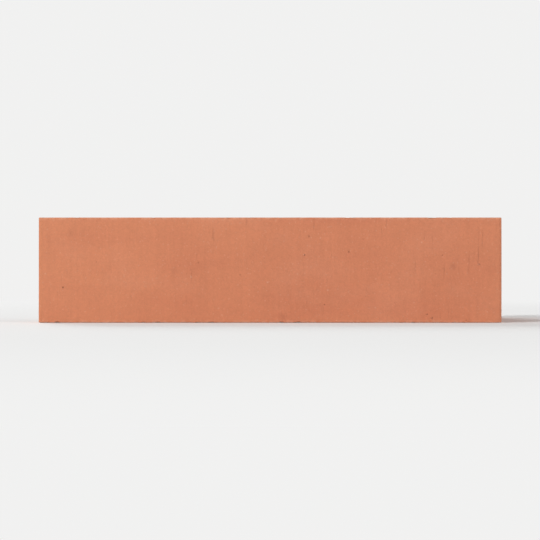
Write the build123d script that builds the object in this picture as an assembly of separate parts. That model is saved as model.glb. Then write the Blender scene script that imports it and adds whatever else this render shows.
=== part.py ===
from build123d import *

# Corner brick slip of fired clay: a thin L-shaped unit that gives an outside corner the look of
# whole brick. Its long leg shows a stretcher face and its short leg a header face. The clay is
# pushed through a die as an angle, so the section is the same from bed to bed, and a wire cuts it
# to height. The faces are smooth, and the back is keyed for adhesive with dovetail grooves that run
# from bed to bed, the way the clay left the die.
#
# Frame: millimetres, +Z up, standing on one bed as it is laid. The origin is the centre of the
# bounding box's underside. The stretcher face looks along -Y and the header face along +X.

import os
from math import floor

# The angle's outside
stretcher_length = 220.0
header_length = 105.0
face_height = 50.0
slip_thickness = 14.0

# Arrises: the first three are the die's, and the last is where the wire leaves each face
corner_arris_radius = 2.0
leg_end_arris_radius = 1.2
back_arris_radius = 0.8
wire_cut_arris_radius = 0.6

# The angle's inside, which stiffens the corner
inside_corner_radius = 5.0

# One dovetail groove. The undercut is how far its floor passes its mouth on each side.
groove_mouth = 6.0
groove_undercut = 0.8
groove_depth = 2.0
groove_floor_radius = 0.4

# Where the grooves may lie. The neck is the least clay between two groove floors.
key_neck = 5.2
leg_end_land = 6.0
inside_corner_land = 3.0

# How far a cutting shape reaches past the clay, so that no two faces coincide
cutter_overrun = 1.0

# What follows from those sizes
face_x = stretcher_length / 2
face_y = -header_length / 2
free_end_x = face_x - stretcher_length
free_end_y = face_y + header_length
back_x = face_x - slip_thickness
back_y = face_y + slip_thickness
groove_floor = groove_mouth + 2 * groove_undercut
least_spacing = groove_floor + key_neck


def rounded(section, x, y, radius):
    """The section with its corner at (x, y) rounded."""
    corner = section.vertices().sort_by_distance((x, y, 0))[0]
    return fillet(corner, radius)


def leg_section():
    """The plain angle as the die shapes it, before the grooves."""
    outline = Polyline(
        (face_x, face_y),
        (face_x, free_end_y),
        (back_x, free_end_y),
        (back_x, back_y),
        (free_end_x, back_y),
        (free_end_x, face_y),
        close=True,
    )
    section = make_face(outline)
    section = rounded(section, face_x, face_y, corner_arris_radius)
    section = rounded(section, back_x, back_y, inside_corner_radius)
    section = rounded(section, face_x, free_end_y, leg_end_arris_radius)
    section = rounded(section, free_end_x, face_y, leg_end_arris_radius)
    section = rounded(section, back_x, free_end_y, back_arris_radius)
    return rounded(section, free_end_x, back_y, back_arris_radius)


def wire_cut_blank():
    """The angle cut to height, with the arris along both beds eased all round."""
    blank = extrude(leg_section(), amount=face_height)
    beds = blank.faces().filter_by(Axis.Z)
    return fillet(beds.edges(), wire_cut_arris_radius)


def groove_section():
    """One dovetail groove with its mouth on the X axis and its floor towards -Y."""
    outline = Polyline(
        (-groove_mouth / 2, cutter_overrun),
        (-groove_mouth / 2, 0),
        (-groove_floor / 2, -groove_depth),
        (groove_floor / 2, -groove_depth),
        (groove_mouth / 2, 0),
        (groove_mouth / 2, cutter_overrun),
        close=True,
    )
    section = make_face(outline)
    for side in (-1, 1):
        section = rounded(section, side * groove_floor / 2, -groove_depth, groove_floor_radius)
    return section


def groove_centres(near_end, near_corner):
    """Evenly spaced groove centres between the land at a leg's end and the one at the corner."""
    first = near_end + groove_floor / 2
    run = near_corner - groove_floor / 2 - first
    if run < 0:
        return []
    gaps = floor(run / least_spacing)
    if gaps == 0:
        return [first + run / 2]
    return [first + run * i / gaps for i in range(gaps + 1)]


def keyed_back():
    """Every groove of both backs, long enough to pass right through the slip."""
    land_at_end = back_arris_radius + leg_end_land
    land_at_corner = inside_corner_radius + inside_corner_land
    along_stretcher = groove_centres(land_at_end, stretcher_length - slip_thickness - land_at_corner)
    along_header = groove_centres(land_at_end, header_length - slip_thickness - land_at_corner)
    places = [Pos(free_end_x + s, back_y) for s in along_stretcher]
    places += [Pos(back_x, free_end_y - s) * Rot(0, 0, 90) for s in along_header]
    cutter = extrude(groove_section(), amount=face_height + 2 * cutter_overrun)
    return [Pos(0, 0, -cutter_overrun) * place * cutter for place in places]


def corner_slip():
    """The whole slip, one solid."""
    return wire_cut_blank() - keyed_back()


os.makedirs("parts", exist_ok=True)
export_step(corner_slip(), "parts/corner_slip.step")
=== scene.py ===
"""The looks of the fired-clay corner slip, with its plain studio and its camera.

Sizes are in metres. The slip stands on its lower bed, with its stretcher face towards -Y and its
header face towards +X, and its overall size comes from the frame.
"""

from __future__ import annotations

import logging
import math
import random
from dataclasses import dataclass
from enum import Enum

import bmesh
import bpy
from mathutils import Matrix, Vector, kdtree, noise

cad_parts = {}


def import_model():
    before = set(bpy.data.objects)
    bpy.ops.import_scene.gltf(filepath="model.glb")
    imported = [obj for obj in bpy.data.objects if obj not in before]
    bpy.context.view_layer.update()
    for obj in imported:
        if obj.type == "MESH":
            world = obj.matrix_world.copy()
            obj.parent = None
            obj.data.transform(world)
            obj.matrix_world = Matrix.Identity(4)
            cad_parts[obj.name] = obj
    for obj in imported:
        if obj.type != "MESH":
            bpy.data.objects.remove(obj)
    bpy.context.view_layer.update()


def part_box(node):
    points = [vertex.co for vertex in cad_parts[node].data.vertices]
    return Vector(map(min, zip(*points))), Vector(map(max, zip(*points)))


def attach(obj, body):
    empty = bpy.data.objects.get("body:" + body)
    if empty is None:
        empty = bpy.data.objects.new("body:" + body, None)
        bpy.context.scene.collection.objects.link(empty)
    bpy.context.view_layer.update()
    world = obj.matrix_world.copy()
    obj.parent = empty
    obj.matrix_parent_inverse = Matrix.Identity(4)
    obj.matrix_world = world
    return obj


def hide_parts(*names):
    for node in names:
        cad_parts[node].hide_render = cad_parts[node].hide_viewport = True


LOG = logging.getLogger("corner_slip")
MM = 0.001
Triple = tuple[float, float, float]
Stop = tuple[float, float]
Span = tuple[float, float]


class Zone(Enum):
    """The kinds of surface that the slip has, by how each was formed."""

    FACE = "pressed smooth by the die and left in view"
    LEG_END = "pressed by the die at the end of a leg"
    KEYED_BACK = "grooved by the die and hidden once the slip is fixed"
    BED = "cut by the wire"


class Carried(Enum):
    """The numbers that the mesh carries at its points for the finish to read."""

    WEAR = "wear"
    CUT = "cut"
    KEYED = "keyed"
    FRACTURE = "fracture"


class Along(Enum):
    """The two directions that the legs run in, by their numbers in a coordinate."""

    X = 0
    Y = 1

    def point(self, along: float, across: float) -> Triple:
        """Gives the point of the section that far along this direction and across it."""
        return (along, across, 0.0) if self is Along.X else (across, along, 0.0)


def put_in_scene(name: str, data: bpy.types.ID) -> bpy.types.Object:
    """Makes an object and links it to the scene.

    Args:
        name: The object's name.
        data: Its mesh, lamp or camera.

    Returns:
        The object, at the origin.
    """
    made = bpy.data.objects.new(name, data)
    bpy.context.scene.collection.objects.link(made)
    return made


class Signal:
    """One output of a shader node, with the sums that it can be used in."""

    def __init__(self, tree: ShaderTree, socket: bpy.types.NodeSocket | None) -> None:
        """Holds an output socket, and the tree that new Math nodes go into."""
        self.tree = tree
        self.socket = socket

    def __add__(self, other: Signal | float) -> Signal:
        """Adds two values."""
        return self.tree.math("ADD", self, other)

    def __radd__(self, other: float) -> Signal:
        """Adds two values."""
        return self.tree.math("ADD", other, self)

    def __sub__(self, other: Signal | float) -> Signal:
        """Takes the other value away."""
        return self.tree.math("SUBTRACT", self, other)

    def __rsub__(self, other: float) -> Signal:
        """Takes this value away from the other."""
        return self.tree.math("SUBTRACT", other, self)

    def __mul__(self, other: Signal | float) -> Signal:
        """Multiplies two values."""
        return self.tree.math("MULTIPLY", self, other)

    def __rmul__(self, other: float) -> Signal:
        """Multiplies two values."""
        return self.tree.math("MULTIPLY", other, self)

    def swing(self) -> Signal:
        """Gives how far noise is above or below its middle, 0.5."""
        return self - 0.5


@dataclass(frozen=True, kw_only=True)
class Bend:
    """How a pattern is moved about, so that it loses its regular shape.

    Each place swings by the reach at most, and places a cell apart swing separately.
    """

    cell: float
    reach: float


class ShaderTree:
    """A material's or a world's nodes, added one call at a time."""

    def __init__(self, owner: bpy.types.Material | bpy.types.World) -> None:
        """Turns the nodes on and empties them.

        Args:
            owner: The material or the world that the nodes are for.
        """
        owner.use_nodes = True
        self.tree = owner.node_tree
        self.tree.nodes.clear()

    def node(
        self,
        kind: str,
        settings: dict[str, object] | None = None,
        inputs: dict[str | int, object] | None = None,
        output: str | int = 0,
    ) -> Signal:
        """Adds one node.

        Args:
            kind: The node's type, without the ShaderNode that starts its name.
            settings: Its properties, set before its sockets. Stops are a colour ramp's.
            inputs: Values, or signals to link, by the socket's name or number.
            output: The name or number of the output wanted.

        Returns:
            The wanted output, or an empty signal for a node that has none.
        """
        made = self.tree.nodes.new("ShaderNode" + kind)
        for name, value in (settings or {}).items():
            if name == "stops":
                self._set_stops(made.color_ramp, value)
            else:
                setattr(made, name, value)
        for name, value in (inputs or {}).items():
            if isinstance(value, Signal):
                self.tree.links.new(value.socket, made.inputs[name])
            else:
                made.inputs[name].default_value = value
        return Signal(self, made.outputs[output] if len(made.outputs) else None)

    @staticmethod
    def _set_stops(ramp: bpy.types.ColorRamp, stops: tuple[Stop, ...]) -> None:
        """Gives a ramp its grey stops.

        Args:
            ramp: The ramp, as the node comes, with two stops.
            stops: Each stop's place and grey level, lowest place first.
        """
        while len(ramp.elements) < len(stops):
            ramp.elements.new(1.0)
        for element, (place, level) in zip(ramp.elements, stops):
            element.position = place
            element.color = (level, level, level, 1.0)

    def math(self, operation: str, a: Signal | float, b: Signal | float) -> Signal:
        """Adds a Math node on two values."""
        return self.node("Math", {"operation": operation}, {0: a, 1: b})

    def attribute(self, kind: Carried) -> Signal:
        """Reads one of the numbers that the mesh carries."""
        return self.node("Attribute", {"attribute_name": kind.value}, output="Fac")

    def ramp(self, value: Signal, stops: tuple[Stop, ...]) -> Signal:
        """Turns a value into a level, by stops that each pair a value with its level."""
        return self.node("ValToRGB", {"stops": stops}, {"Fac": value})

    def stretch(self, place: Signal, scale: Triple) -> Signal:
        """Adds a Mapping node that scales each direction by itself."""
        return self.node("Mapping", inputs={"Vector": place, "Scale": scale})

    def noise(self, place: Signal, cell: float, layers: float, rough: float, output: str = "Fac") -> Signal:
        """Adds noise about 0.5, with features a cell across and finer layers of that roughness."""
        sizes = {"Vector": place, "Scale": 1.0 / cell, "Detail": layers, "Roughness": rough}
        return self.node("TexNoise", inputs=sizes, output=output)

    def wobble(self, place: Signal, bend: Bend) -> Signal:
        """Moves places about."""
        swings = {0: self.noise(place, bend.cell, 1.0, 0.5, "Color"), 1: (2.0 * bend.reach,) * 3, 2: place}
        return self.node("VectorMath", {"operation": "MULTIPLY_ADD"}, swings)

    def scatter(self, place: Signal, cell: float) -> Signal:
        """Adds the distance to the nearest of many scattered points, in cells."""
        return self.node("TexVoronoi", inputs={"Vector": place, "Scale": 1.0 / cell})

    def blend(self, factor: Signal, under: Signal | Triple, over: Triple) -> Signal:
        """Mixes a colour over another. The factor is how much of the upper one shows."""
        lower = under if isinstance(under, Signal) else (*under, 1.0)
        return self.node("Mix", {"data_type": "RGBA"}, {0: factor, 6: lower, 7: (*over, 1.0)}, output=2)

    def shade(self, colour: Signal, level: Signal) -> Signal:
        """Multiplies a colour by a value."""
        return self.node("VectorMath", {"operation": "SCALE"}, {0: colour, "Scale": level})


@dataclass(frozen=True, kw_only=True)
class Mark:
    """A mark of the clay: how strong it is, and where.

    Tone is how strongly it shades the clay, and height how far it lifts the surface or sinks into
    it, in bump depths. The back's amounts come on top of those on the keyed back. A low number in
    drawn draws the mark out that way, and the patches are where it shows.
    """

    tone: float = 0.0
    back_tone: float = 0.0
    height: float = 0.0
    back_height: float = 0.0
    drawn: Triple | None = None
    patches: SpreadMark | None = None


@dataclass(frozen=True, kw_only=True)
class SpreadMark(Mark):
    """A mark that comes and goes over the clay.

    The size is that of its broadest features, and the layers are the finer ones. Without stops its
    value is noise about 0.5.
    """

    size: float
    layers: float
    roughness: float = 0.55
    bend: Bend | None = None
    stops: tuple[Stop, ...] = ()

    def over(self, place: Signal) -> Signal:
        """Adds the mark's nodes.

        Args:
            place: Where the clay is read.

        Returns:
            The mark's strength there.
        """
        tree = place.tree
        moved = tree.wobble(place, self.bend) if self.bend else place
        moved = tree.stretch(moved, self.drawn) if self.drawn else moved
        value = tree.noise(moved, self.size, self.layers, self.roughness)
        value = tree.ramp(value, self.stops) if self.stops else value
        return value * self.patches.over(place) if self.patches else value


@dataclass(frozen=True, kw_only=True)
class DottedMark(Mark):
    """A mark of scattered dots.

    Each stop is a distance from a dot's middle, in spacings, and the dot's strength there.
    """

    spacing: float
    stops: tuple[Stop, ...]
    bend: Bend

    def over(self, place: Signal) -> Signal:
        """Adds the mark's nodes.

        Args:
            place: Where the clay is read.

        Returns:
            The mark's strength there.
        """
        tree = place.tree
        moved = tree.stretch(place, self.drawn) if self.drawn else place
        dots = tree.ramp(tree.scatter(tree.wobble(moved, self.bend), self.spacing), self.stops)
        return dots * self.patches.over(place) if self.patches else dots


@dataclass(frozen=True)
class FiredClay:
    """The slip's one finish: a smooth orange-red clay body, fired matt."""

    orange: Triple = (0.655, 0.243, 0.125)
    red: Triple = (0.552, 0.181, 0.096)
    pale_bloom: Triple = (0.690, 0.300, 0.185)
    iron_spot: Triple = (0.245, 0.088, 0.058)
    pale_grog: Triple = (0.700, 0.380, 0.260)
    fresh_break: Triple = (0.640, 0.235, 0.125)
    kiln_dust: Triple = (0.585, 0.290, 0.190)
    roughness: float = 0.80
    specular_level: float = 0.3
    bump_depth: float = 0.30 * MM

    # How much the grain varies the roughness, and how much rougher the back, the beds and breaks are
    grain_roughness: float = 0.20
    rougher_parts: float = 0.06
    # How strongly pale grog and broken clay show, and how much higher the coarse unevenness of
    # broken clay is
    grog_strength: float = 0.50
    break_strength: float = 0.8
    break_height: float = 1.4

    # Broad patches where the firing has turned the orange redder
    redder_firing: SpreadMark = SpreadMark(size=110.0 * MM, layers=2.0, stops=((0.32, 0.0), (0.70, 0.48)))
    # Soft redder smears that lie along the faces
    smears: SpreadMark = SpreadMark(
        size=15.0 * MM, layers=2.0, drawn=(0.28, 0.28, 1.0), stops=((0.50, 0.0), (0.80, 0.34))
    )
    # Faint paler patches where salts came to the surface as the clay dried
    salt_bloom: SpreadMark = SpreadMark(
        size=27.0 * MM, layers=4.0, roughness=0.6, drawn=(0.6, 0.6, 1.0), stops=((0.53, 0.0), (0.76, 0.26))
    )
    # Uneven tone about a centimetre across, unevenness as coarse as sand, and the body's fine grain
    mottle: SpreadMark = SpreadMark(size=12.0 * MM, layers=4.0, tone=0.09)
    coarse: SpreadMark = SpreadMark(
        size=2.3 * MM, layers=3.0, roughness=0.6, tone=0.10, back_tone=0.20, height=0.30, back_height=1.1
    )
    grain: SpreadMark = SpreadMark(
        size=0.8 * MM, layers=4.0, roughness=0.68, tone=0.30, height=0.42, back_height=0.4
    )
    # Iron, as a few soft dark spots and more small hard ones
    soft_spots: DottedMark = DottedMark(
        spacing=17.0 * MM,
        stops=((0.02, 0.42), (0.07, 0.20), (0.16, 0.0)),
        bend=Bend(cell=1.6 * MM, reach=0.5 * MM),
        patches=SpreadMark(size=23.0 * MM, layers=1.0, stops=((0.51, 0.0), (0.61, 1.0))),
    )
    small_spots: DottedMark = DottedMark(
        spacing=5.9 * MM,
        stops=((0.03, 0.62), (0.08, 0.0)),
        bend=Bend(cell=1.6 * MM, reach=0.5 * MM),
        patches=SpreadMark(size=7.7 * MM, layers=1.0, stops=((0.57, 0.0), (0.64, 1.0))),
    )
    # Grog, the pale broken grains of ground brick
    fine_grog: DottedMark = DottedMark(
        spacing=1.9 * MM,
        stops=((0.10, 0.6), (0.20, 0.0)),
        bend=Bend(cell=0.7 * MM, reach=0.35 * MM),
    )
    large_grog: DottedMark = DottedMark(
        spacing=4.8 * MM,
        stops=((0.06, 1.0), (0.11, 0.0)),
        bend=Bend(cell=0.7 * MM, reach=0.35 * MM),
        patches=SpreadMark(size=6.7 * MM, layers=1.0, stops=((0.50, 0.0), (0.58, 1.0))),
    )
    # Fine open pores of the skin, drawn out a little from bed to bed; their darker colour is painted shade
    # in them
    pores: DottedMark = DottedMark(
        spacing=4.0 * MM,
        stops=((0.045, 1.0), (0.10, 0.0)),
        bend=Bend(cell=0.6 * MM, reach=0.15 * MM),
        drawn=(1.0, 1.0, 0.7),
        patches=SpreadMark(size=6.3 * MM, layers=2.0, stops=((0.53, 0.0), (0.63, 1.0))),
        tone=0.32,
        height=1.2,
    )
    # Faint bands that the die draws from bed to bed
    die_streaks: SpreadMark = SpreadMark(
        size=1.8 * MM,
        layers=4.0,
        roughness=0.62,
        drawn=(1.0, 1.0, 0.03),
        tone=0.11,
        height=0.40,
        back_height=0.7,
    )
    # Short hair-thin scores where a grain was dragged along the die; their darker colour is painted shade
    # in them
    scores: SpreadMark = SpreadMark(
        size=0.87 * MM,
        layers=1.0,
        drawn=(1.0, 1.0, 0.05),
        stops=((0.69, 0.0), (0.76, 1.0)),
        patches=SpreadMark(size=14.0 * MM, layers=2.0, stops=((0.48, 0.0), (0.58, 1.0))),
        tone=0.10,
        height=0.35,
    )
    # Paler dust that stays on the back
    dust: SpreadMark = SpreadMark(
        size=4.5 * MM, layers=5.0, roughness=0.68, drawn=(1.0, 1.0, 0.7), stops=((0.30, 0.10), (0.70, 0.66))
    )
    # On the beds: torn lines and broader bands along the wire's way, and pits of plucked grains
    wire_drag: SpreadMark = SpreadMark(
        size=1.3 * MM,
        layers=5.0,
        roughness=0.70,
        bend=Bend(cell=9.0 * MM, reach=0.6 * MM),
        drawn=(1.0, 0.15, 1.0),
        tone=0.42,
        height=1.7,
    )
    wire_bands: SpreadMark = SpreadMark(
        size=7.0 * MM, layers=4.0, roughness=0.65, drawn=(1.0, 0.32, 1.0), tone=0.34
    )
    # The plucked pits' darker colour is painted shade in them, on top of their bump
    crumbs: DottedMark = DottedMark(
        spacing=3.3 * MM,
        stops=((0.10, 1.0), (0.26, 0.0)),
        bend=Bend(cell=1.0 * MM, reach=0.4 * MM),
        drawn=(1.0, 0.45, 1.0),
        patches=SpreadMark(size=4.8 * MM, layers=2.0, stops=((0.43, 0.0), (0.53, 1.0))),
        tone=0.24,
        height=0.9,
    )
    # How much of the paler clay shows on a worn arris, by the coarse unevenness
    worn_stops: tuple[Stop, ...] = ((0.38, 0.0), (0.66, 0.75))

    def material(self) -> bpy.types.Material:
        """Builds the material.

        Returns:
            A material that reads the numbers that the slip's mesh carries.
        """
        material = bpy.data.materials.new("fired_clay")
        tree = ShaderTree(material)
        place = tree.node("TexCoord", output="Object")
        wear, cut, keyed, fracture = (tree.attribute(kind) for kind in Carried)
        skin = 1.0 - cut
        mottle, grain, coarse = (mark.over(place) for mark in (self.mottle, self.grain, self.coarse))
        streaks, drag = self.die_streaks.over(place), self.wire_drag.over(place)
        scores, pores = self.scores.over(place) * skin, self.pores.over(place) * skin
        bands, crumbs = self.wire_bands.over(place), self.crumbs.over(place) * cut

        redder = self.redder_firing.over(place) + self.smears.over(place)
        grog = self.fine_grog.over(place) + self.large_grog.over(place)
        iron = self.soft_spots.over(place) + self.small_spots.over(place)
        worn = wear * tree.ramp(coarse, self.worn_stops)
        colour = tree.blend(redder, self.orange, self.red)
        colour = tree.blend(self.salt_bloom.over(place), colour, self.pale_bloom)
        colour = tree.blend(grog * self.grog_strength, colour, self.pale_grog)
        colour = tree.blend(iron, colour, self.iron_spot)
        colour = tree.blend(worn, colour, self.pale_grog)
        colour = tree.blend(keyed * self.dust.over(place), colour, self.kiln_dust)
        colour = tree.blend(fracture * self.break_strength, colour, self.fresh_break)

        tone = 1.0 + mottle.swing() * self.mottle.tone + grain.swing() * self.grain.tone
        tone = tone + streaks.swing() * self.die_streaks.tone * skin
        tone = tone + coarse.swing() * (self.coarse.tone + keyed * self.coarse.back_tone)
        tone = tone + drag.swing() * cut * self.wire_drag.tone + bands.swing() * cut * self.wire_bands.tone
        # Scores, pores and pits are darkened here: painted shade in these hollows, on top of their bump
        tone = tone - scores * self.scores.tone - pores * self.pores.tone - crumbs * self.crumbs.tone

        height = grain * (self.grain.height + keyed * self.grain.back_height)
        sand = self.coarse.height + keyed * self.coarse.back_height + fracture * self.break_height
        lines = self.die_streaks.height + keyed * self.die_streaks.back_height
        height = height + coarse * sand + streaks * lines * skin
        height = height - scores * self.scores.height - pores * self.pores.height
        height = height + drag * cut * self.wire_drag.height - crumbs * self.crumbs.height
        rougher = (keyed + cut + fracture) * self.rougher_parts
        relief = {"Distance": self.bump_depth, "Height": height}
        finish = {
            "Base Color": tree.shade(colour, tone),
            "Roughness": self.roughness + grain.swing() * self.grain_roughness + rougher,
            "Specular IOR Level": self.specular_level,
            "Normal": tree.node("Bump", inputs=relief),
        }
        tree.node("OutputMaterial", inputs={"Surface": tree.node("BsdfPrincipled", inputs=finish)})
        return material


@dataclass(frozen=True)
class Arris:
    """One rounded corner of the section, and the number of steps that it is drawn in."""

    radius: float
    steps: int


@dataclass(frozen=True)
class KeyGroove:
    """One dovetail groove of the back, in section."""

    mouth: float = 6.0 * MM
    undercut: float = 0.8 * MM
    depth: float = 2.0 * MM
    neck: float = 5.2 * MM

    @property
    def half(self) -> float:
        """Half the width of the mouth."""
        return self.mouth / 2.0

    def centres(self, near_end: float, near_corner: float) -> list[float]:
        """Places grooves evenly along a leg.

        Args:
            near_end: Where the plain land at the leg's end stops.
            near_corner: Where the plain land at the inside corner starts.

        Returns:
            The distance of each groove's middle from the leg's end.
        """
        floor = self.mouth + 2.0 * self.undercut
        first = near_end + floor / 2.0
        run = near_corner - floor / 2.0 - first
        gaps = int(run / (floor + self.neck))
        return [first + run * i / gaps for i in range(gaps + 1)]


@dataclass(frozen=True)
class KeyedBack:
    """One leg's keyed back in section: its plane, its grooves' floor and their middles."""

    run: Along
    plane: float
    floor: float
    middles: tuple[float, ...]
    groove: KeyGroove

    @property
    def through(self) -> Along:
        """The direction through the leg."""
        return Along.Y if self.run is Along.X else Along.X

    @property
    def lips(self) -> list[float]:
        """Where the grooves' lips are along the leg."""
        half = self.groove.half
        return [middle + side for middle in self.middles for side in (-half, half)]

    @property
    def corners(self) -> list[float]:
        """Where the grooves' lips and the corners of their floors are along the leg."""
        half, reach = self.groove.half, self.groove.half + self.groove.undercut
        return [middle + side for middle in self.middles for side in (-reach, -half, half, reach)]

    def is_waste(self, at: Vector) -> bool:
        """Says whether a point of the plain section is between two lips and short of the floor."""
        outside = (at[self.through.value] - self.floor) * (self.plane - self.floor) > 0.0
        return outside and any(abs(at[self.run.value] - m) < self.groove.half for m in self.middles)

    def undercut(self, vert: bmesh.types.BMVert, snap: float) -> None:
        """Moves a point out to the dovetail's corner if it is at the edge of a groove's floor.

        Args:
            vert: A point of the cut section.
            snap: How near the edge counts as on it.
        """
        if abs(vert.co[self.through.value] - self.floor) >= snap:
            return
        for middle in self.middles:
            aside = vert.co[self.run.value] - middle
            if abs(abs(aside) - self.groove.half) < snap:
                vert.co[self.run.value] += math.copysign(self.groove.undercut, aside)
                return


@dataclass(frozen=True, kw_only=True)
class Ripple:
    """Smooth unevenness that swings that many times in a metre, in each direction.

    Each layer after the first is finer by the spread and weaker by the fading.
    """

    rate: Triple
    layers: int = 1
    fading: float = 1.0
    spread: float = 2.0

    def swing(self, at: Vector) -> float:
        """Reads the unevenness.

        Args:
            at: Where it is read.

        Returns:
            A value that is mostly between -1 and 1.
        """
        place = at * Vector(self.rate)
        if self.layers == 1:
            return noise.noise(place)
        return noise.fractal(place, self.fading, self.spread, self.layers)


@dataclass(frozen=True, kw_only=True)
class Relief(Ripple):
    """Unevenness by which the clay dips below its true surface."""

    depth: float

    def dip(self, at: Vector) -> float:
        """Works out how far the surface dips at a point, mostly between 0 and the depth."""
        return self.depth * (0.5 + 0.5 * self.swing(at))


@dataclass(frozen=True)
class Nick:
    """One place where an arris has lost a flake of clay.

    In radii, the ragged share is how much its outline varies, and the search share is how far
    from its centre it is looked for, before the stretch.
    """

    centre: Vector
    inward: Vector
    along: Vector
    radius: float
    stretch: float
    ragged_share: float = 0.25
    search_share: float = 1.3
    outline: Ripple = Ripple(rate=(850.0,) * 3)

    @property
    def search_radius(self) -> float:
        """How far from its centre the flake is looked for."""
        return self.radius * self.stretch * self.search_share

    def push(self, at: Vector) -> float:
        """Works out how far a point has to move to lie on the broken surface.

        Args:
            at: A point of the unbroken surface.

        Returns:
            The distance inward, 0 where the flake doesn't reach.
        """
        offset = at - self.centre
        length = offset.dot(self.along)
        offset -= self.along * length * (1.0 - 1.0 / self.stretch)
        radius = self.radius * (1.0 + self.ragged_share * self.outline.swing(at))
        deep = offset.dot(self.inward)
        beside = (offset - self.inward * deep).length
        if beside >= radius:
            return 0.0
        return max(0.0, math.sqrt(radius**2 - beside**2) - deep)


@dataclass(frozen=True)
class BedArris:
    """A wall's two straight arrises by the beds, alike but for their height.

    The clay side is 1 or -1, the way across the leg from the wall's plane into the clay.
    """

    run: Along
    plane: float
    clay_side: float
    start: float
    stop: float
    bottom: float
    top: float

    def place(self, share: float, on_top: bool) -> Vector:
        """Finds the point at that share of the way along the upper or the lower one."""
        x, y, _ = self.run.point(self.start + (self.stop - self.start) * share, self.plane)
        return Vector((x, y, self.top if on_top else self.bottom))

    def inward(self, on_top: bool) -> Vector:
        """Gives the unit step from the upper or the lower one into the clay."""
        x, y, _ = self.run.point(0.0, self.clay_side)
        return Vector((x, y, -1.0 if on_top else 1.0)).normalized()


# Straight arrises by the way that they run, and by whether they are the back's
Arrises = dict[tuple[Along, bool], BedArris]


@dataclass(frozen=True)
class Handling:
    """The knocks of handling, which nick and chip the arrises by both beds.

    A nick's radius is the least radius and a random part of the extra, and the bias keeps most
    nicks small. Outside is how far a nick's centre lies outside the clay, in radii.
    """

    nick_count: int = 190
    least_radius: float = 0.55 * MM
    back_extra: float = 1.5 * MM
    face_extra: float = 0.75 * MM
    small_bias: float = 2.5
    back_chips: int = 9
    back_chip_radius: Span = (1.8 * MM, 3.2 * MM)
    face_chips: int = 2
    face_chip_radius: Span = (1.3 * MM, 1.8 * MM)
    back_chance: float = 0.6
    top_chance: float = 0.5
    header_chance: float = 0.33
    outside: Span = (0.30, 0.60)
    stretch: Span = (1.0, 2.2)
    seed: int = 20

    def nicks(self, arrises: Arrises) -> list[Nick]:
        """Scatters small flakes along the arrises, and a few larger chips.

        Args:
            arrises: The arrises to choose among.

        Returns:
            The nicks, the same ones each run.
        """
        dice = random.Random(self.seed)
        nicks = []
        for _ in range(self.nick_count):
            on_back = dice.random() < self.back_chance
            extra = self.back_extra if on_back else self.face_extra
            radius = self.least_radius + extra * dice.random() ** self.small_bias
            nicks.append(self._nick(dice, arrises, on_back, radius))
        for _ in range(self.back_chips):
            nicks.append(self._nick(dice, arrises, True, dice.uniform(*self.back_chip_radius)))
        for _ in range(self.face_chips):
            nicks.append(self._nick(dice, arrises, False, dice.uniform(*self.face_chip_radius)))
        return nicks

    def _nick(self, dice: random.Random, arrises: Arrises, on_back: bool, radius: float) -> Nick:
        """Puts one nick somewhere along an arris.

        Args:
            dice: Where the chances come from.
            arrises: The arrises to choose among.
            on_back: Whether the arris is one of the back's, and not one of the faces'.
            radius: The size of the scoop.

        Returns:
            The nick.
        """
        on_top = dice.random() < self.top_chance
        share = dice.random()
        run = Along.Y if dice.random() < self.header_chance else Along.X
        arris = arrises[run, on_back]
        inward = arris.inward(on_top)
        centre = arris.place(share, on_top) - inward * radius * dice.uniform(*self.outside)
        return Nick(centre, inward, Vector(run.point(1.0, 0.0)), radius, dice.uniform(*self.stretch))


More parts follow.
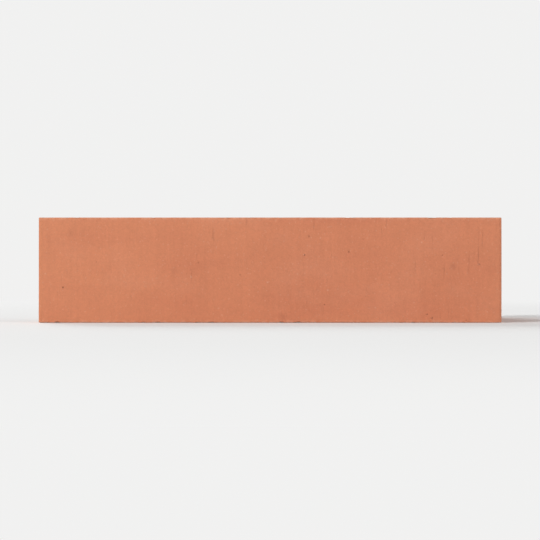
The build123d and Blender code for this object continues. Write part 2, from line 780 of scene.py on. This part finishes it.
@dataclass
class CornerSlip:
    """The whole slip: a thin angle of clay, pushed through a die and cut to height."""

    low: Vector
    high: Vector
    finish: FiredClay = FiredClay()
    handling: Handling = Handling()

    # The die's shape, and the radius of the arris that the wire leaves along the beds
    thickness: float = 14.0 * MM
    corner_arris: Arris = Arris(2.0 * MM, 7)
    leg_end_arris: Arris = Arris(1.2 * MM, 5)
    back_arris: Arris = Arris(0.8 * MM, 3)
    inside_corner: Arris = Arris(5.0 * MM, 8)
    groove: KeyGroove = KeyGroove()
    leg_end_land: float = 6.0 * MM
    inside_corner_land: float = 3.0 * MM
    bed_arris: float = 0.6 * MM

    # The mesh's cells: along a leg, through it, in from its outline, and up the walls from a bed
    spacing: float = 1.0 * MM
    through_spacing: float = 1.35 * MM
    rim: float = 1.5 * MM
    first_row: float = 0.12 * MM
    row_growth: float = 1.3
    row_spacing: float = 0.82 * MM

    # How near a plane counts as on it, what share of a cell is too little to be one, and the
    # sharpest edge that is shaded smooth
    snap: float = 0.02 * MM
    slack: float = 1e-6
    smooth_angle: float = math.radians(42.0)

    # The level part of the way that a bed's points face, at most, and the share of that part that
    # is square to a leg's end, at least
    bed_facing: float = 0.2
    end_facing: float = 0.7

    # The walls' unevenness: everywhere, on the leg ends and on the backs
    bow: Relief = Relief(depth=0.20 * MM, rate=(13.0,) * 3)
    wave: Relief = Relief(depth=0.07 * MM, rate=(48.0,) * 3)
    streak: Relief = Relief(depth=0.03 * MM, rate=(420.0, 420.0, 9.0))
    end_dent: Relief = Relief(depth=0.22 * MM, rate=(30.0,) * 3)
    back_grit: Relief = Relief(depth=0.16 * MM, rate=(330.0,) * 3, layers=3, fading=0.7)
    back_streak: Relief = Relief(depth=0.08 * MM, rate=(420.0, 420.0, 9.0))

    # The beds' unevenness, along the wire's way
    wire_drag: Relief = Relief(depth=0.15 * MM, rate=(300.0, 45.0, 50.0), layers=3, fading=0.8, spread=2.1)
    bed_bow: Relief = Relief(depth=0.26 * MM, rate=(15.0, 15.0, 60.0))

    # The torn lips: how deep a tear goes, how far from the lip, and the swing that starts one. A
    # tear as deep as the fracture depth shows broken clay and nothing else.
    tear_depth: float = 2.0 * MM
    tear_reach: float = 1.3 * MM
    tear_start: float = 0.42
    tear: Ripple = Ripple(rate=(260.0, 260.0, 200.0), layers=3, fading=0.6, spread=2.3)
    fracture_depth: float = 0.3 * MM

    # The worn arris by a bed: its radius and that radius's swing, as shares of the wire's arris, and
    # how far from the bed its paler clay shows and how strongly
    wear: Ripple = Ripple(rate=(260.0,) * 3, layers=3, fading=0.8, spread=2.1)
    face_wear: float = 0.85
    face_wear_swing: float = 0.30
    back_wear: float = 0.55
    back_wear_swing: float = 0.20
    wear_reach: float = 0.9 * MM
    wear_strength: float = 0.8

    # How far from a leg's end the nicks start
    nick_margin: float = 1.0 * MM

    @property
    def back_x(self) -> float:
        """The plane of the header leg's back."""
        return self.high.x - self.thickness

    @property
    def back_y(self) -> float:
        """The plane of the stretcher leg's back."""
        return self.low.y + self.thickness

    def build(self) -> bpy.types.Object:
        """Makes the slip and puts it in the frame.

        Returns:
            The finished piece, riding on the root body in place of the CAD node.
        """
        mesh = self._blank_section()
        self._cut_grooves(mesh)
        self._divide_section(mesh)
        self._raise_to_height(mesh)
        self._weather(mesh)
        self._nick_arrises(mesh)
        piece = self._as_object(mesh)
        piece.data.materials.append(self.finish.material())
        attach(piece, "root")
        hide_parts("corner_slip")
        return piece

    def _blank_section(self) -> bmesh.types.BMesh:
        """Draws the plain angle as one face and rounds its corners.

        Returns:
            A mesh with the section on the lower bed.
        """
        mesh = bmesh.new()
        plan = [
            (self.low.x, self.low.y, self.leg_end_arris),
            (self.high.x, self.low.y, self.corner_arris),
            (self.high.x, self.high.y, self.leg_end_arris),
            (self.back_x, self.high.y, self.back_arris),
            (self.back_x, self.back_y, self.inside_corner),
            (self.low.x, self.back_y, self.back_arris),
        ]
        corners = [mesh.verts.new((x, y, self.low.z)) for x, y, _ in plan]
        mesh.faces.new(corners)
        for corner, (_, _, arris) in zip(corners, plan):
            bmesh.ops.bevel(
                mesh,
                geom=[corner],
                offset=arris.radius,
                segments=arris.steps,
                profile=0.5,
                affect="VERTICES",
                material=-1,
            )
        return mesh

    def _slice(self, mesh: bmesh.types.BMesh, along: Along, place: float) -> None:
        """Cuts the section right across.

        Args:
            mesh: The section.
            along: The direction that the cut is square to.
            place: Where the cut goes, in that direction.
        """
        bmesh.ops.bisect_plane(
            mesh,
            geom=mesh.verts[:] + mesh.edges[:] + mesh.faces[:],
            dist=self.snap,
            plane_co=along.point(place, 0.0),
            plane_no=along.point(1.0, 0.0),
        )

    def _keyed_backs(self) -> tuple[KeyedBack, KeyedBack]:
        """Works out where the grooves are.

        Returns:
            The stretcher leg's keyed back and the header leg's.
        """
        near_end = self.back_arris.radius + self.leg_end_land
        land = self.inside_corner.radius + self.inside_corner_land
        stretcher = self.groove.centres(near_end, self.back_x - self.low.x - land)
        header = self.groove.centres(near_end, self.high.y - self.back_y - land)
        along_x = tuple(self.low.x + s for s in stretcher)
        along_y = tuple(self.high.y - s for s in header)
        floor_x, floor_y = self.back_x + self.groove.depth, self.back_y - self.groove.depth
        return (
            KeyedBack(Along.X, self.back_y, floor_y, along_x, self.groove),
            KeyedBack(Along.Y, self.back_x, floor_x, along_y, self.groove),
        )

    def _cut_grooves(self, mesh: bmesh.types.BMesh) -> None:
        """Takes the dovetail grooves out of the section.

        Args:
            mesh: The plain section.
        """
        backs = self._keyed_backs()
        for back in backs:
            self._slice(mesh, back.through, back.floor)
        for back in backs:
            for lip in back.lips:
                self._slice(mesh, back.run, lip)
        waste = [f for f in mesh.faces if any(b.is_waste(f.calc_center_median()) for b in backs)]
        bmesh.ops.delete(mesh, geom=waste, context="FACES")
        for vert in mesh.verts:
            for back in backs:
                back.undercut(vert, self.snap)

    def _between(self, keys: list[float], spacing: float) -> list[float]:
        """Fills the gaps between chosen places with evenly spaced ones.

        Args:
            keys: The chosen places.
            spacing: The widest gap to leave.

        Returns:
            Every place but the first and last, lowest first.
        """
        keys = sorted(keys)
        places = []
        for low, high in zip(keys, keys[1:]):
            parts = max(1, math.ceil((high - low) / spacing - self.slack))
            places += [low + (high - low) * i / parts for i in range(parts)]
        return places[1:]

    def _divide_section(self, mesh: bmesh.types.BMesh) -> None:
        """Cuts the section into cells small enough to carry the clay's unevenness.

        Args:
            mesh: The grooved section.
        """
        stretcher, header = self._keyed_backs()
        keys_x = [self.low.x, self.low.x + self.rim, self.back_x] + stretcher.corners
        keys_y = [self.back_y, self.high.y - self.rim, self.high.y] + header.corners
        through_x = [self.back_x, header.floor, self.high.x - self.rim, self.high.x]
        through_y = [self.low.y, self.low.y + self.rim, stretcher.floor, self.back_y]
        cuts_x = self._between(keys_x, self.spacing) + [self.back_x]
        cuts_x += self._between(through_x, self.through_spacing)
        cuts_y = self._between(through_y, self.through_spacing) + [self.back_y]
        cuts_y += self._between(keys_y, self.spacing)
        for place in cuts_x:
            self._slice(mesh, Along.X, place)
        for place in cuts_y:
            self._slice(mesh, Along.Y, place)
        bmesh.ops.subdivide_edges(mesh, edges=self._face_outline(mesh), cuts=1)

    def _face_outline(self, mesh: bmesh.types.BMesh) -> list[bmesh.types.BMEdge]:
        """Finds the straight outline edges of the two faces left in view.

        Args:
            mesh: The divided section.

        Returns:
            Those edges.
        """
        found = []
        for edge in mesh.edges:
            middle = (edge.verts[0].co + edge.verts[1].co) / 2.0
            on_stretcher = abs(middle.y - self.low.y) < self.snap
            on_header = abs(middle.x - self.high.x) < self.snap
            if edge.is_boundary and (on_stretcher or on_header):
                found.append(edge)
        return found

    def _row_heights(self) -> list[float]:
        """Lists the heights of the rows that the walls are divided into.

        Returns:
            Heights above the lower bed, closer together the nearer they are to a bed.
        """
        edge, step = [0.0], self.first_row
        while step < self.row_spacing:
            edge.append(edge[-1] + step)
            step *= self.row_growth
        height = self.high.z - self.low.z
        middle = self._between([edge[-1], height - edge[-1]], self.row_spacing)
        return edge + middle + [height - h for h in reversed(edge)]

    def _raise_to_height(self, mesh: bmesh.types.BMesh) -> None:
        """Makes the walls between the two beds and divides them into rows.

        The walls are a bridge from one bed's outline to the other's, and not an extrusion, because
        an extrusion puts its walls in an order that changes from run to run.

        Args:
            mesh: The divided section.
        """
        height = self.high.z - self.low.z
        section = mesh.verts[:] + mesh.edges[:] + mesh.faces[:]
        copied = bmesh.ops.duplicate(mesh, geom=section)
        lifted = [part for part in copied["geom"] if isinstance(part, bmesh.types.BMVert)]
        bmesh.ops.translate(mesh, verts=lifted, vec=(0.0, 0.0, height))
        bmesh.ops.bridge_loops(mesh, edges=[edge for edge in mesh.edges if edge.is_boundary])
        uprights = [e for e in mesh.edges if abs(e.verts[0].co.z - e.verts[1].co.z) > height / 2.0]
        rows = self._row_heights()
        bmesh.ops.subdivide_edges(mesh, edges=uprights, cuts=len(rows) - 2)
        step = height / (len(rows) - 1)
        for vert in mesh.verts:
            vert.co.z = self.low.z + rows[round((vert.co.z - self.low.z) / step)]
        bmesh.ops.recalc_face_normals(mesh, faces=mesh.faces[:])
        mesh.normal_update()

    def _zone(self, at: Vector, outward: Vector) -> Zone:
        """Says how the surface at a point was formed.

        Args:
            at: The point.
            outward: The level part of the way that the surface faces.

        Returns:
            The surface's zone, which is a wall's where a wall meets a bed.
        """
        if outward.length < self.bed_facing:
            return Zone.BED
        behind_x = at.x < self.back_x + self.groove.depth + self.snap
        behind_y = at.y > self.back_y - self.groove.depth - self.snap
        plain_x, plain_y = self.low.x + self.back_arris.radius, self.high.y - self.back_arris.radius
        if behind_x and behind_y and at.x > plain_x and at.y < plain_y:
            return Zone.KEYED_BACK
        square = self.end_facing * outward.length
        if outward.x < -square or outward.y > square:
            return Zone.LEG_END
        return Zone.FACE

    def _weather(self, mesh: bmesh.types.BMesh) -> None:
        """Gives the walls and beds the unevenness of fired clay and eases the wire's arrises.

        Args:
            mesh: The raised slip.
        """
        layers = {kind: mesh.verts.layers.float.new(kind.value) for kind in Carried}
        lips = self._lips()
        moves = []
        for vert in mesh.verts:
            at = vert.co.copy()
            from_bed = min(at.z - self.low.z, self.high.z - at.z)
            outward = Vector((vert.normal.x, vert.normal.y, 0.0))
            zone = self._zone(at, outward)
            move = Vector((0.0, 0.0, 0.0))
            if zone is not Zone.BED:
                tear = self._lip_tear(at, lips) if zone is Zone.KEYED_BACK else 0.0
                dip = self._eased(at, zone, from_bed) + self._wall_dip(at, zone) + tear
                move -= outward.normalized() * dip
                worn = math.exp(-((from_bed / self.wear_reach) ** 2)) * self.wear_strength
                vert[layers[Carried.WEAR]] = worn
                vert[layers[Carried.FRACTURE]] = min(1.0, tear / self.fracture_depth)
            if from_bed < self.snap:
                move.z += math.copysign(self._bed_dip(at), self.low.z + self.high.z - 2.0 * at.z)
            vert[layers[Carried.CUT]] = 1.0 if zone is Zone.BED else 0.0
            vert[layers[Carried.KEYED]] = 1.0 if zone is Zone.KEYED_BACK else 0.0
            moves.append(move)
        for vert, move in zip(mesh.verts, moves):
            vert.co += move

    def _eased(self, at: Vector, zone: Zone, from_bed: float) -> float:
        """Works out how far a wall is worn back beside a bed.

        Args:
            at: A point on the wall.
            zone: The wall's zone.
            from_bed: Its distance from the nearer bed.

        Returns:
            The distance that the wear takes it inward, 0 past the arris.
        """
        side = math.copysign(1.0, at.z - (self.low.z + self.high.z) / 2.0)
        swing = self.wear.swing(Vector((at.x, at.y, side)))
        if zone is Zone.KEYED_BACK:
            radius = self.bed_arris * (self.back_wear + self.back_wear_swing * swing)
        else:
            radius = self.bed_arris * (self.face_wear + self.face_wear_swing * swing)
        if from_bed >= radius:
            return 0.0
        return radius - math.sqrt(max(0.0, radius**2 - (radius - from_bed) ** 2))

    def _wall_dip(self, at: Vector, zone: Zone) -> float:
        """Works out how far a wall dips below its true plane.

        Args:
            at: A point on the wall.
            zone: The wall's zone.

        Returns:
            The dip, at least 0.
        """
        reliefs = [self.bow, self.wave, self.streak]
        if zone is Zone.LEG_END:
            reliefs += [self.end_dent]
        if zone is Zone.KEYED_BACK:
            reliefs += [self.back_grit, self.back_streak]
        return max(0.0, sum(relief.dip(at) for relief in reliefs))

    def _bed_dip(self, at: Vector) -> float:
        """Works out how far the wire has dragged a bed below its true plane, at least 0."""
        return max(0.0, self.wire_drag.dip(at) + self.bed_bow.dip(at))

    def _lips(self) -> kdtree.KDTree:
        """Gathers the lips of every groove.

        Returns:
            The lips' places in the section, at height 0, to be searched.
        """
        places = [back.run.point(lip, back.plane) for back in self._keyed_backs() for lip in back.lips]
        lips = kdtree.KDTree(len(places))
        for index, place in enumerate(places):
            lips.insert(place, index)
        lips.balance()
        return lips

    def _lip_tear(self, at: Vector, lips: kdtree.KDTree) -> float:
        """Works out how far the die has torn a groove's lip back.

        Args:
            at: A point on the keyed back.
            lips: The lips' places in the section.

        Returns:
            The depth of the tear, 0 away from the lips and where they are whole.
        """
        gap = lips.find((at.x, at.y, 0.0))[2]
        if gap > self.tear_reach:
            return 0.0
        torn = max(0.0, self.tear.swing(at) - self.tear_start)
        return self.tear_depth * (1.0 - gap / self.tear_reach) * torn

    def _bed_arrises(self) -> Arrises:
        """Lists the straight arrises by the beds.

        Returns:
            The arrises that can be nicked.
        """
        beds = (self.low.z, self.high.z)
        start, stop = self.low.x + self.nick_margin, self.high.y - self.nick_margin
        outer, inner = self.corner_arris.radius, self.inside_corner.radius
        return {
            (Along.X, False): BedArris(Along.X, self.low.y, 1.0, start, self.high.x - outer, *beds),
            (Along.X, True): BedArris(Along.X, self.back_y, -1.0, start, self.back_x - inner, *beds),
            (Along.Y, False): BedArris(Along.Y, self.high.x, -1.0, self.low.y + outer, stop, *beds),
            (Along.Y, True): BedArris(Along.Y, self.back_x, 1.0, self.back_y + inner, stop, *beds),
        }

    def _nick_arrises(self, mesh: bmesh.types.BMesh) -> None:
        """Scoops the flakes out of the arrises.

        Args:
            mesh: The weathered slip.
        """
        fracture = mesh.verts.layers.float[Carried.FRACTURE.value]
        mesh.verts.ensure_lookup_table()
        points = kdtree.KDTree(len(mesh.verts))
        for index, vert in enumerate(mesh.verts):
            points.insert(vert.co, index)
        points.balance()
        for nick in self.handling.nicks(self._bed_arrises()):
            for _, index, _ in points.find_range(nick.centre, nick.search_radius):
                vert = mesh.verts[index]
                distance = nick.push(vert.co)
                if distance > 0.0:
                    vert.co += nick.inward * distance
                    vert[fracture] = 1.0

    def _as_object(self, mesh: bmesh.types.BMesh) -> bpy.types.Object:
        """Turns the finished mesh into a piece.

        Args:
            mesh: The finished mesh, which is freed.

        Returns:
            The piece, at the origin.
        """
        bmesh.ops.triangulate(mesh, faces=[f for f in mesh.faces if len(f.verts) > 4])
        bmesh.ops.recalc_face_normals(mesh, faces=mesh.faces[:])
        data = bpy.data.meshes.new("corner_slip_body")
        mesh.to_mesh(data)
        open_edges = sum(1 for edge in mesh.edges if not edge.is_manifold)
        triangles = sum(len(face.verts) - 2 for face in mesh.faces)
        mesh.free()
        data.shade_smooth()
        data.set_sharp_from_angle(angle=self.smooth_angle)
        piece = put_in_scene("corner_slip_body", data)
        LOG.info("%s: %d triangles, %d open edges", piece.name, triangles, open_edges)
        return piece


@dataclass(frozen=True)
class SoftLamp:
    """One square soft lamp, pointed at the slip."""

    name: str
    place: Triple
    side: float
    power: float

    def hang(self, aim: Vector) -> None:
        """Adds the lamp.

        Args:
            aim: The point that it faces.
        """
        data = bpy.data.lights.new(self.name, "AREA")
        data.shape = "SQUARE"
        data.size = self.side
        data.energy = self.power
        lamp = put_in_scene(self.name, data)
        lamp.location = self.place
        lamp.rotation_euler = (aim - Vector(self.place)).to_track_quat("-Z", "Y").to_euler()


@dataclass
class Studio:
    """A pale seamless floor, soft lamps and a camera square to the stretcher face."""

    low: Vector
    high: Vector
    backdrop: Triple = (0.88, 0.88, 0.875)
    floor_colour: Triple = (0.785, 0.785, 0.78)
    floor_reach: float = 6.0
    fade_start: float = 0.22
    fade_end: float = 0.62
    sky_colour: Triple = (1.0, 1.0, 1.0)
    sky_strength: float = 0.36
    lamps: tuple[SoftLamp, ...] = (
        SoftLamp("key", (-2.70, -2.44, 2.96), 1.3, 120.0),
        SoftLamp("fill", (2.40, -1.50, 1.20), 2.2, 31.0),
        SoftLamp("rear", (-1.20, 2.40, 1.60), 1.6, 52.0),
    )
    lens: float = 120.0
    face_share: float = 0.86

    def build(self) -> None:
        """Makes the floor, the sky, the lamps and the camera."""
        self._floor()
        self._sky()
        for lamp in self.lamps:
            lamp.hang((self.low + self.high) / 2.0)
        self._camera()

    def _floor(self) -> None:
        """Makes a wide floor that keeps the slip's shadow and fades into the backdrop."""
        mesh = bmesh.new()
        bmesh.ops.create_grid(mesh, x_segments=1, y_segments=1, size=self.floor_reach)
        bmesh.ops.translate(mesh, verts=mesh.verts[:], vec=(0.0, 0.0, self.low.z))
        data = bpy.data.meshes.new("studio_floor")
        mesh.to_mesh(data)
        mesh.free()
        floor = put_in_scene("studio_floor", data)
        data.materials.append(self._floor_material())

    @staticmethod
    def _as_backdrop(tree: ShaderTree) -> Signal:
        """Tells the rays that see the backdrop from those that only carry light.

        Args:
            tree: The nodes that it goes into.

        Returns:
            1 for a camera's rays and for those of metal and glass, and 0 for the rest.
        """
        kinds = ("Camera", "Glossy", "Transmission")
        seen, mirrored, refracted = (tree.node("LightPath", output=f"Is {kind} Ray") for kind in kinds)
        return tree.math("MAXIMUM", seen, tree.math("MAXIMUM", mirrored, refracted))

    def _floor_material(self) -> bpy.types.Material:
        """Builds the floor's material.

        Returns:
            A matt pale surface that shows as the backdrop from further off.
        """
        material = bpy.data.materials.new("studio_floor")
        tree = ShaderTree(material)
        place = tree.node("TexCoord", output="Object")
        distance = tree.node("VectorMath", {"operation": "LENGTH"}, {0: place}, output="Value")
        spread = {"Value": distance, "From Min": self.fade_start, "From Max": self.fade_end}
        fade = tree.node("MapRange", {"interpolation_type": "SMOOTHSTEP"}, spread)
        matt = tree.node("BsdfDiffuse", inputs={"Color": (*self.floor_colour, 1.0)})
        far = tree.node("Emission", inputs={"Color": (*self.backdrop, 1.0)})
        surface = tree.node("MixShader", inputs={0: fade * self._as_backdrop(tree), 1: matt, 2: far})
        tree.node("OutputMaterial", inputs={"Surface": surface})
        return material

    def _sky(self) -> None:
        """Lights the slip evenly from all round, and shows the backdrop to what sees it."""
        world = bpy.data.worlds.new("studio_sky")
        bpy.context.scene.world = world
        tree = ShaderTree(world)
        even = {"Color": (*self.sky_colour, 1.0), "Strength": self.sky_strength}
        light = tree.node("Background", inputs=even)
        seen = tree.node("Background", inputs={"Color": (*self.backdrop, 1.0)})
        surface = tree.node("MixShader", inputs={0: self._as_backdrop(tree), 1: light, 2: seen})
        tree.node("OutputWorld", inputs={"Surface": surface})

    def _camera(self) -> None:
        """Adds the camera, level and square to the middle of the stretcher face."""
        data = bpy.data.cameras.new("square_on")
        data.lens = self.lens
        view_width = (self.high.x - self.low.x) / self.face_share
        distance = view_width * self.lens / data.sensor_width
        middle = (self.low + self.high) / 2.0
        camera = put_in_scene("square_on", data)
        camera.location = (middle.x, self.low.y - distance, middle.z)
        camera.rotation_euler = (math.pi / 2.0, 0.0, 0.0)
        bpy.context.scene.camera = camera


def main() -> None:
    """Loads the frame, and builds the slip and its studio."""
    logging.basicConfig(level=logging.INFO, format="%(name)s: %(message)s")
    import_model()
    low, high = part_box("corner_slip")
    slip = CornerSlip(low, high).build()
    LOG.info("%s: built and dressed", slip.name)
    studio = Studio(low, high)
    studio.build()
    LOG.info("studio: floor, sky, %d lamps and camera", len(studio.lamps))
    bpy.context.scene.view_settings.view_transform = "Standard"


if __name__ == "__main__":
    main()
